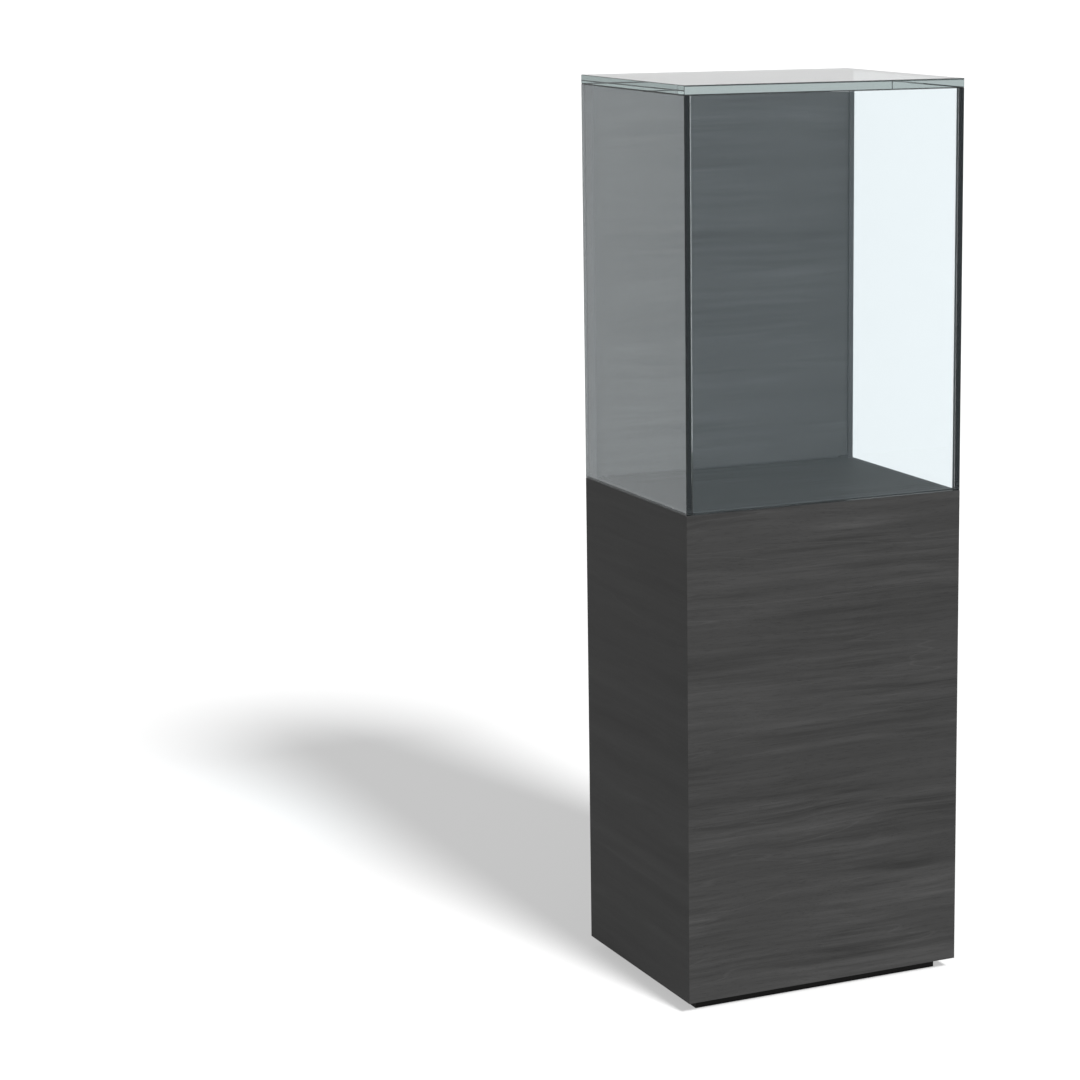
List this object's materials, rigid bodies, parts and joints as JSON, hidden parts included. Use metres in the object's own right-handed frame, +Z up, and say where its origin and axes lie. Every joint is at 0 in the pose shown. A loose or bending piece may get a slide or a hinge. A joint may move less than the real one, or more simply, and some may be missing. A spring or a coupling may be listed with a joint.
{
  "type": "pedestal display case",
  "caption": "Tall pedestal display case: glass case with a hinged, locking rear door on a dark laminated cabinet with a rear storage door, shelf, recessed plinth and levelling feet.",
  "frame": {"origin": "centre of the footprint on the floor, at the underside of the plinth", "axes": "+Z up; the front panel and front pane face -Y; the doors are at +Y; +X is the right side seen from the front"},
  "size_m": [0.5, 0.39, 1.5],
  "materials": {
    "laminate": "satin dark laminate with a fine horizontal wood grain",
    "plinth": "matt black faced board",
    "beech": "bare beech",
    "glass": "clear plate glass with polished, bevelled edges",
    "silicone": "clear silicone bead",
    "frame": "satin black powder coat",
    "steel": "brushed stainless steel",
    "zinc": "bright zinc plate",
    "lock": "satin nickel plate",
    "plug": "turned brass",
    "leveller": "moulded black nylon",
    "rubber": "black rubber"
  },
  "bodies": {
    "root": {"front_panel": "laminate", "left_side_panel": "laminate", "right_side_panel": "laminate", "corner_splines": "beech", "bottom_board": "laminate", "deck_board": "laminate", "storage_shelf": "laminate", "shelf_pins": "steel", "carcass_dowels": "beech", "cam_fittings": "zinc", "cam_bolts": "steel", "plinth_front": "plinth", "plinth_rear": "plinth", "plinth_left": "plinth", "plinth_right": "plinth", "plinth_screws": "zinc", "leveller_sleeves": "zinc", "lower_door_stop": "laminate", "stop_screws": "zinc", "stop_bumpers": "rubber", "glass_bedding": "silicone", "left_glass": "glass", "right_glass": "glass", "front_glass": "glass", "top_glass": "glass", "rear_frame": "frame", "rear_frame_screws": "zinc", "display_door_seal": "rubber", "display_hinge_frame_leaves": "steel", "display_hinge_pins": "steel", "display_hinge_frame_screws": "zinc", "display_strike_plate": "steel", "display_strike_screws": "zinc", "storage_hinge_frame_leaves": "steel", "storage_hinge_pins": "steel", "storage_hinge_frame_screws": "zinc", "storage_strike_plate": "steel", "storage_strike_screws": "zinc"},
    "display_door": {"display_door": "laminate", "display_door_sweep": "rubber", "display_hinge_door_leaves": "steel", "display_hinge_door_screws": "zinc", "display_lock_case": "lock", "display_lock_screws": "zinc"},
    "display_key_plug": {"display_lock_plug": "plug"},
    "display_bolt": {"display_lock_bolt": "plug"},
    "storage_door": {"storage_door": "laminate", "storage_hinge_door_leaves": "steel", "storage_hinge_door_screws": "zinc", "storage_lock_case": "lock", "storage_lock_screws": "zinc"},
    "storage_key_plug": {"storage_lock_plug": "plug"},
    "storage_bolt": {"storage_lock_bolt": "plug"},
    "leveller_front_left": {"leveller_front_left": "leveller"},
    "leveller_front_right": {"leveller_front_right": "leveller"},
    "leveller_rear_left": {"leveller_rear_left": "leveller"},
    "leveller_rear_right": {"leveller_rear_right": "leveller"}
  },
  "joints": [
    {"name": "display_door_hinge", "type": "hinge", "parent": "root", "child": "display_door", "pos_m": [0.2333, 0.184, 1.1569], "axis": [0, 0, -1], "range_deg": [0, 105]},
    {"name": "display_key_turn", "type": "hinge", "parent": "display_door", "child": "display_key_plug", "pos_m": [-0.1948, 0.1865, 0.856], "axis": [0, 1, 0], "range_deg": [0, 90]},
    {"name": "display_bolt_slide", "type": "slide", "parent": "display_door", "child": "display_bolt", "axis": [0, 0, -1], "range_m": [0, 0.01]},
    {"name": "storage_door_hinge", "type": "hinge", "parent": "root", "child": "storage_door", "pos_m": [0.2275, 0.184, 0.425], "axis": [0, 0, -1], "range_deg": [0, 105]},
    {"name": "storage_key_turn", "type": "hinge", "parent": "storage_door", "child": "storage_key_plug", "pos_m": [-0.189, 0.1865, 0.787], "axis": [0, -1, 0], "range_deg": [0, 90]},
    {"name": "storage_bolt_slide", "type": "slide", "parent": "storage_door", "child": "storage_bolt", "axis": [0, 0, 1], "range_m": [0, 0.01]},
    {"name": "leveller_front_left_screw_out", "type": "slide", "parent": "root", "child": "leveller_front_left", "axis": [0, 0, -1], "range_m": [0, 0.01]},
    {"name": "leveller_front_right_screw_out", "type": "slide", "parent": "root", "child": "leveller_front_right", "axis": [0, 0, -1], "range_m": [0, 0.01]},
    {"name": "leveller_rear_left_screw_out", "type": "slide", "parent": "root", "child": "leveller_rear_left", "axis": [0, 0, -1], "range_m": [0, 0.01]},
    {"name": "leveller_rear_right_screw_out", "type": "slide", "parent": "root", "child": "leveller_rear_right", "axis": [0, 0, -1], "range_m": [0, 0.01]}
  ],
  "couplings": [
    {"joint": "display_bolt_slide", "follows": "display_key_turn", "m_per_rad": 0.00636},
    {"joint": "storage_bolt_slide", "follows": "storage_key_turn", "m_per_rad": 0.00636}
  ]
}
